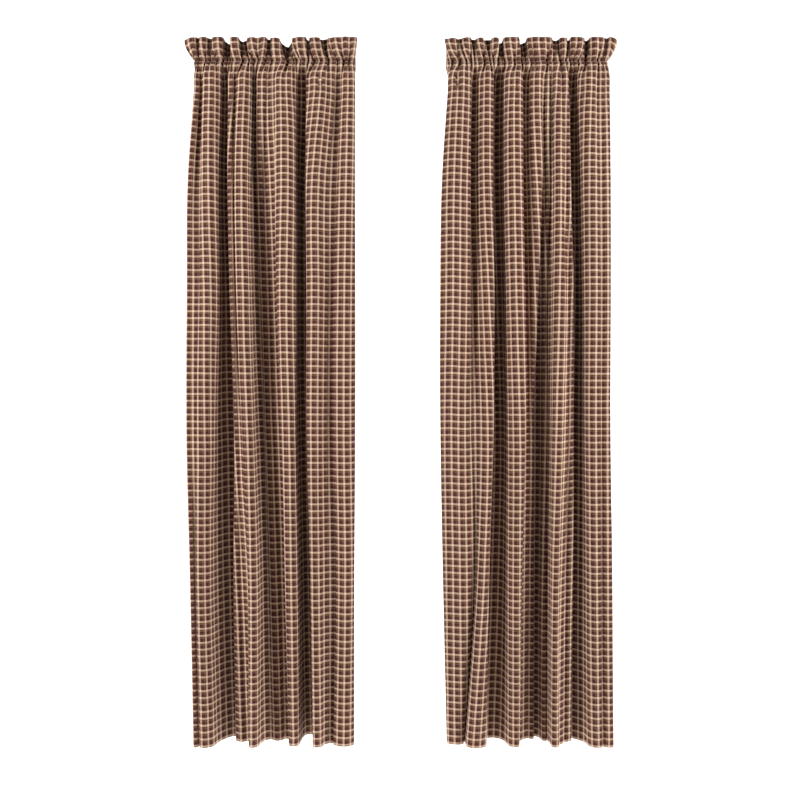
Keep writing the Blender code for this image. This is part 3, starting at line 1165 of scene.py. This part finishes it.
@dataclass(frozen=True)
class CheckedCotton:
    """Plain-woven cotton in a small check, the same stripes in warp and weft.

    The stripes are widths in mm, in the order in which they are woven. stray is how far
    a yarn wanders, in metres, and the shares are how much each thing shades the cloth.
    """

    stripes: tuple[tuple[Yarn, float], ...] = (
        (Yarn.CREAM, 5.0),
        (Yarn.BURGUNDY, 8.2),
        (Yarn.BOTTLE, 1.6),
        (Yarn.TAN, 1.2),
        (Yarn.BOTTLE, 2.6),
        (Yarn.KHAKI, 2.0),
    )
    yarn_pitch: float = 0.0008
    woven_share: float = 0.26
    relief: float = 0.00014
    crispness: float = 1.6
    stray: float = 0.0016
    slub_share: float = 0.16
    mottle_share: float = 0.10
    least_shade: float = 0.79
    least_roughness: float = 0.84
    sheen: float = 0.08
    sheen_roughness: float = 0.5
    shine: float = 0.25
    uv_name: str = "Cloth"

    @property
    def repeat(self) -> float:
        """The width of one check, in metres."""
        return sum(width for _, width in self.stripes) * MM

    def stops(self) -> list[tuple[float, Colour]]:
        """Set the stripes out along one repeat.

        Returns:
            Where each starts, as a share of the repeat, and its colour.
        """
        total, at, found = self.repeat / MM, 0.0, []
        for yarn, width in self.stripes:
            found.append((at / total, yarn.value))
            at += width
        return found

    def material(self, name: str) -> bpy.types.Material:
        """Build the cloth's material on the piece's own map of the flat cloth.

        Args:
            name: the material's name.

        Returns:
            The material.
        """
        nodes = Nodes(name)
        flat = nodes.add("ShaderNodeUVMap", {"uv_map": self.uv_name}, {}).outputs[0]
        parts = nodes.add("ShaderNodeSeparateXYZ", {}, {0: flat})
        u, v = Value(nodes, parts.outputs[0]), Value(nodes, parts.outputs[1])
        stray = (nodes.noise(flat, 22.0) - 0.5) * self.stray
        warp = self.stripe_colour(nodes, u + stray)
        weft = self.stripe_colour(nodes, v - stray)

        turn = math.pi / self.yarn_pitch
        weave = (u * turn).sine() * (v * turn).sine()
        over = (weave * self.crispness + 0.5).held()
        share = over * (1 - 2 * self.woven_share) + self.woven_share
        colour = nodes.mix(share, weft, warp)

        slubs = self.slub(nodes, u, v, 900.0, 14.0) + self.slub(nodes, u, v, 14.0, 900.0)
        mottle = nodes.noise(flat, 5.0, 3.0) * self.mottle_share
        shade = slubs * self.slub_share + mottle + self.least_shade
        colour = nodes.mix(1.0, colour, nodes.grey(shade), "MULTIPLY")
        nodes.feed(nodes.shader.inputs["Base Color"], colour)

        rough = nodes.noise(flat, 60.0) * 0.12 + self.least_roughness
        nodes.feed(nodes.shader.inputs["Roughness"], rough)
        height = over * (v * turn).sine().size() + (1 - over) * (u * turn).sine().size()
        bump = nodes.add("ShaderNodeBump", {}, {"Strength": 0.5, "Distance": self.relief, "Height": height})
        nodes.feed(nodes.shader.inputs["Normal"], bump.outputs[0])
        nodes.shader.inputs["Sheen Weight"].default_value = self.sheen
        nodes.shader.inputs["Sheen Roughness"].default_value = self.sheen_roughness
        nodes.shader.inputs["Specular IOR Level"].default_value = self.shine
        return nodes.material

    def stripe_colour(self, nodes: Nodes, across: Value) -> bpy.types.NodeSocket:
        """Read the stripes' colour.

        Args:
            nodes: the material's nodes.
            across: the distance across the stripes.

        Returns:
            The colour there.
        """
        place = (across / self.repeat).fraction()
        ramp = nodes.add("ShaderNodeValToRGB", {"stops": self.stops()}, {0: place})
        return ramp.outputs[0]

    def slub(self, nodes: Nodes, u: Value, v: Value, by_u: float, by_v: float) -> Value:
        """Read noise that is drawn out along one set of yarns."""
        place = nodes.add("ShaderNodeCombineXYZ", {}, {0: u * by_u, 1: v * by_v}).outputs[0]
        return nodes.noise(place, 1.0, 1.0)


@dataclass(frozen=True)
class SewingThread:
    """Matt thread that matches the dark yarns."""

    colour: Colour = (0.16, 0.075, 0.055, 1.0)
    twist: float = 2600.0

    def material(self, name: str) -> bpy.types.Material:
        """Build the thread's material, with painted shade as fine dark turns where the plies meet, and a
        little random tone.

        Args:
            name: the material's name.

        Returns:
            The material.
        """
        nodes = Nodes(name)
        place = nodes.add("ShaderNodeTexCoord", {}, {}).outputs["Object"]
        parts = nodes.add("ShaderNodeSeparateXYZ", {}, {0: place})
        x, z = Value(nodes, parts.outputs[0]), Value(nodes, parts.outputs[2])
        # Painted shade: the sine darkens the turns where shade would fall between the plies; the noise is
        # random tone.
        ply_shade_and_tone = ((x + z) * self.twist).sine() * 0.12 + nodes.noise(place, 400.0) * 0.2 + 0.82
        colour = nodes.mix(1.0, self.colour, nodes.grey(ply_shade_and_tone), "MULTIPLY")
        nodes.feed(nodes.shader.inputs["Base Color"], colour)
        nodes.feed(nodes.shader.inputs["Roughness"], nodes.noise(place, 900.0) * 0.15 + 0.7)
        return nodes.material


@dataclass(frozen=True)
class GlowingPalePaper:
    """The matt paper of the studio's floor and back, which glows from within like a light table though it
    is no lamp: painted light.

    It glows fully where it lies behind the curtains, and not at all in front of them. The
    glow starts at dark_until, in metres along Y, and is full glow_rise further back.
    """

    colour: Colour = (0.60, 0.597, 0.59, 1.0)
    glow: float = 1.0
    dark_until: float = -0.26
    glow_rise: float = 0.2
    roughness: float = 0.9

    def material(self, name: str) -> bpy.types.Material:
        """Build the paper's material, barely mottled.

        Args:
            name: the material's name.

        Returns:
            The material.
        """
        nodes = Nodes(name)
        place = nodes.add("ShaderNodeTexCoord", {}, {}).outputs["Object"]
        shade = nodes.noise(place, 1.3, 3.0) * 0.02 + 0.985
        colour = nodes.mix(1.0, self.colour, nodes.grey(shade), "MULTIPLY")
        nodes.feed(nodes.shader.inputs["Base Color"], colour)
        nodes.shader.inputs["Roughness"].default_value = self.roughness
        along = Value(nodes, nodes.add("ShaderNodeSeparateXYZ", {}, {0: place}).outputs[1])
        lit = ((along - self.dark_until) / self.glow_rise).held()
        # Painted light: the paper glows behind the curtains, lighting their backs and whitening the
        # backdrop.
        nodes.feed(nodes.shader.inputs["Emission Color"], nodes.grey(lit))
        nodes.shader.inputs["Emission Strength"].default_value = self.glow
        return nodes.material


@dataclass
class Curtain:
    """One curtain: its heading, its panel and its rows of stitching."""

    cloth: CutLength
    cotton: bpy.types.Material
    thread: bpy.types.Material
    bottom_hem: float = 0.075
    side_hem: float = 0.024
    hem_stitch_in: float = 0.0025

    def build(self) -> list[bpy.types.Object]:
        """Make and dress the curtain's pieces.

        Returns:
            The pieces, each riding on the body; the model's own heading and panel are hidden.
        """
        side = self.cloth.side.value
        drape = Drape(self.cloth)
        heading_sheet, panel_sheet = drape.heading_sheet(), drape.panel_sheet()
        maker = ClothMaker()
        heading = maker.make(f"{side}_heading_cloth", heading_sheet, self.heading_hems(heading_sheet))
        panel = maker.make(f"{side}_panel_cloth", panel_sheet, self.panel_hems(panel_sheet))
        seams = self.sew_seams(f"{side}_seam_stitches", drape, heading_sheet)
        hems = self.sew_hems(f"{side}_hem_stitches", panel_sheet)

        for cloth, stitches, slot in ((heading, seams, "heading_cloth"), (panel, hems, "panel_cloth")):
            cloth.data.materials.append(self.cotton)
            stitches.data.materials.append(self.thread)
            for piece in (cloth, stitches):
                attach(piece, "root")
        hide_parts(f"{side}_heading")
        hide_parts(f"{side}_panel")
        return [heading, panel, seams, hems]

    def heading_hems(self, sheet: Sheet) -> np.ndarray:
        """Mark the heading's side hems."""
        return np.broadcast_to(self.beside(sheet.u)[None, :], sheet.points.shape[:2])

    def panel_hems(self, sheet: Sheet) -> np.ndarray:
        """Mark the panel's side hems and its bottom hem."""
        bottom = sheet.v > sheet.v.max() - self.bottom_hem
        return np.maximum(self.beside(sheet.u)[None, :], bottom[:, None])

    def beside(self, u: np.ndarray) -> np.ndarray:
        """Mark what lies within a side hem of either edge."""
        return np.minimum(u - u.min(), u.max() - u) < self.side_hem

    def sew_seams(self, name: str, drape: Drape, sheet: Sheet) -> bpy.types.Object:
        """Sew the two seams of the pocket, seen on the front and on the back.

        Args:
            name: the piece's name.
            drape: says how far down the seams lie.
            sheet: the heading's cloth.

        Returns:
            The stitches as one piece.
        """
        rows = SewingRow()
        upper, lower = drape.v[drape.seam_row], drape.v[drape.pocket_row] - 0.8 * MM
        runs = [rows.across(sheet, at) for at in (upper, lower, -upper, -lower)]
        return rows.make(name, runs)

    def sew_hems(self, name: str, sheet: Sheet) -> bpy.types.Object:
        """Sew the bottom hem and both side hems.

        Args:
            name: the piece's name.
            sheet: the panel's cloth.

        Returns:
            The stitches as one piece.
        """
        rows = SewingRow(gap=0.0012)
        high, low = float(sheet.v.min()), float(sheet.v.max())
        inset = self.side_hem - self.hem_stitch_in
        runs = [rows.across(sheet, low - self.bottom_hem + self.hem_stitch_in)]
        runs += [rows.down(sheet, u, high + 2 * MM, low) for u in (inset, sheet.flat[0] - inset)]
        return rows.make(name, runs)


@dataclass
class Studio:
    """A pale floor that sweeps up behind, soft light, and the camera.

    In metres, except for the sensor in millimetres and the boxes' power in watts.
    """

    floor: float = -2.17
    half_width: float = 6.0
    front: float = -7.0
    back: float = 3.2
    height: float = 5.5
    sweep: float = 1.6
    view_width: float = 2.383
    distance: float = 2.7
    crest_plane: float = -0.045
    eye_across: float = -0.003
    eye_level: float = -1.0035
    sensor: float = 36.0
    sight: float = 50.0
    box_place: tuple[float, float, float] = (3.3, -1.9, 0.1)
    box_size: float = 1.2
    box_power: float = 142.0
    air_strength: float = 0.12

    def build(self) -> None:
        """Set the stage."""
        self.build_sweep()
        self.build_lights()
        self.build_camera()

    def build_sweep(self) -> None:
        """Shape the floor and back as one bent sheet."""
        deselect_all()
        bpy.ops.mesh.primitive_plane_add(size=1.0)
        sweep = bpy.context.object
        sweep.name = "studio_sweep"
        sides = {-0.5: self.front, 0.5: self.back}
        for vertex in sweep.data.vertices:
            vertex.co = (math.copysign(self.half_width, vertex.co.x), sides[vertex.co.y], self.floor)
        bpy.context.tool_settings.mesh_select_mode = (False, True, False)
        self.select_edges(sweep, lambda corner: corner.y > 0)
        bpy.ops.object.mode_set(mode="EDIT")
        bpy.ops.mesh.extrude_region_move(TRANSFORM_OT_translate={"value": (0.0, 0.0, self.height)})
        bpy.ops.object.mode_set(mode="OBJECT")
        self.select_edges(sweep, lambda corner: corner.y > 0 and corner.z < self.floor + 10 * MM)
        bpy.ops.object.mode_set(mode="EDIT")
        bpy.ops.mesh.bevel(offset=self.sweep, segments=20, affect="EDGES")
        bpy.ops.object.mode_set(mode="OBJECT")
        bpy.ops.object.shade_smooth()
        sweep.data.materials.append(GlowingPalePaper().material("glowing_pale_paper"))

    @staticmethod
    def select_edges(item: bpy.types.Object, wanted: Callable[[Vector], bool]) -> None:
        """Select only the edges whose two ends are wanted.

        Args:
            item: the object that they are on.
            wanted: says whether an end is wanted, from its place.
        """
        for face in item.data.polygons:
            face.select = False
        for vertex in item.data.vertices:
            vertex.select = wanted(vertex.co)
        for edge in item.data.edges:
            edge.select = all(item.data.vertices[index].select for index in edge.vertices)

    def build_lights(self) -> None:
        """Hang soft boxes well to both sides of the camera, and light the air weakly."""
        x, y, z = self.box_place
        self.soft_box("left_light", (-x, y, z))
        self.soft_box("right_light", (x, y, z))
        world = bpy.data.worlds.new("studio_air")
        bpy.context.scene.world = world
        world.use_nodes = True
        air = world.node_tree.nodes["Background"]
        air.inputs["Color"].default_value = (1.0, 1.0, 1.0, 1.0)
        air.inputs["Strength"].default_value = self.air_strength
        bpy.context.scene.view_settings.view_transform = "Standard"

    def soft_box(self, name: str, place: tuple[float, float, float]) -> None:
        """Hang one square light that faces the middle of the curtains.

        Args:
            name: the light's name.
            place: where it hangs.
        """
        bpy.ops.object.light_add(type="AREA", location=place)
        light = bpy.context.object
        light.name = name
        light.data.shape = "SQUARE"
        light.data.size = self.box_size
        light.data.energy = self.box_power
        aim = np.array([0.0, 0.0, self.eye_level]) - np.array(place)
        light.rotation_euler = (
            math.pi / 2 + math.atan2(aim[2], math.hypot(aim[0], aim[1])),
            0.0,
            math.atan2(-aim[0], aim[1]),
        )

    def build_camera(self) -> None:
        """Stand the camera level, straight in front, at half the curtains' height."""
        bpy.ops.object.camera_add(
            location=(self.eye_across, self.crest_plane - self.distance, self.eye_level),
            rotation=(math.pi / 2, 0.0, 0.0),
        )
        camera = bpy.context.object
        camera.name = "camera"
        camera.data.sensor_width = self.sensor
        camera.data.sensor_height = self.sensor
        camera.data.lens = self.sensor * self.distance / self.view_width
        camera.data.clip_end = self.sight
        bpy.context.scene.camera = camera


def main() -> None:
    """Build the curtains and the stage, and report each piece."""
    logging.basicConfig(level=logging.INFO, format="%(message)s")
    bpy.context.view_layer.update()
    cotton = CheckedCotton().material("checked_cotton")
    thread = SewingThread().material("sewing_thread")
    for cloth in (LEFT_CLOTH, RIGHT_CLOTH):
        for piece in Curtain(cloth, cotton, thread).build():
            log.info("%s: %d faces", piece.name, len(piece.data.polygons))
    Studio().build()


if __name__ == "__main__":
    main()
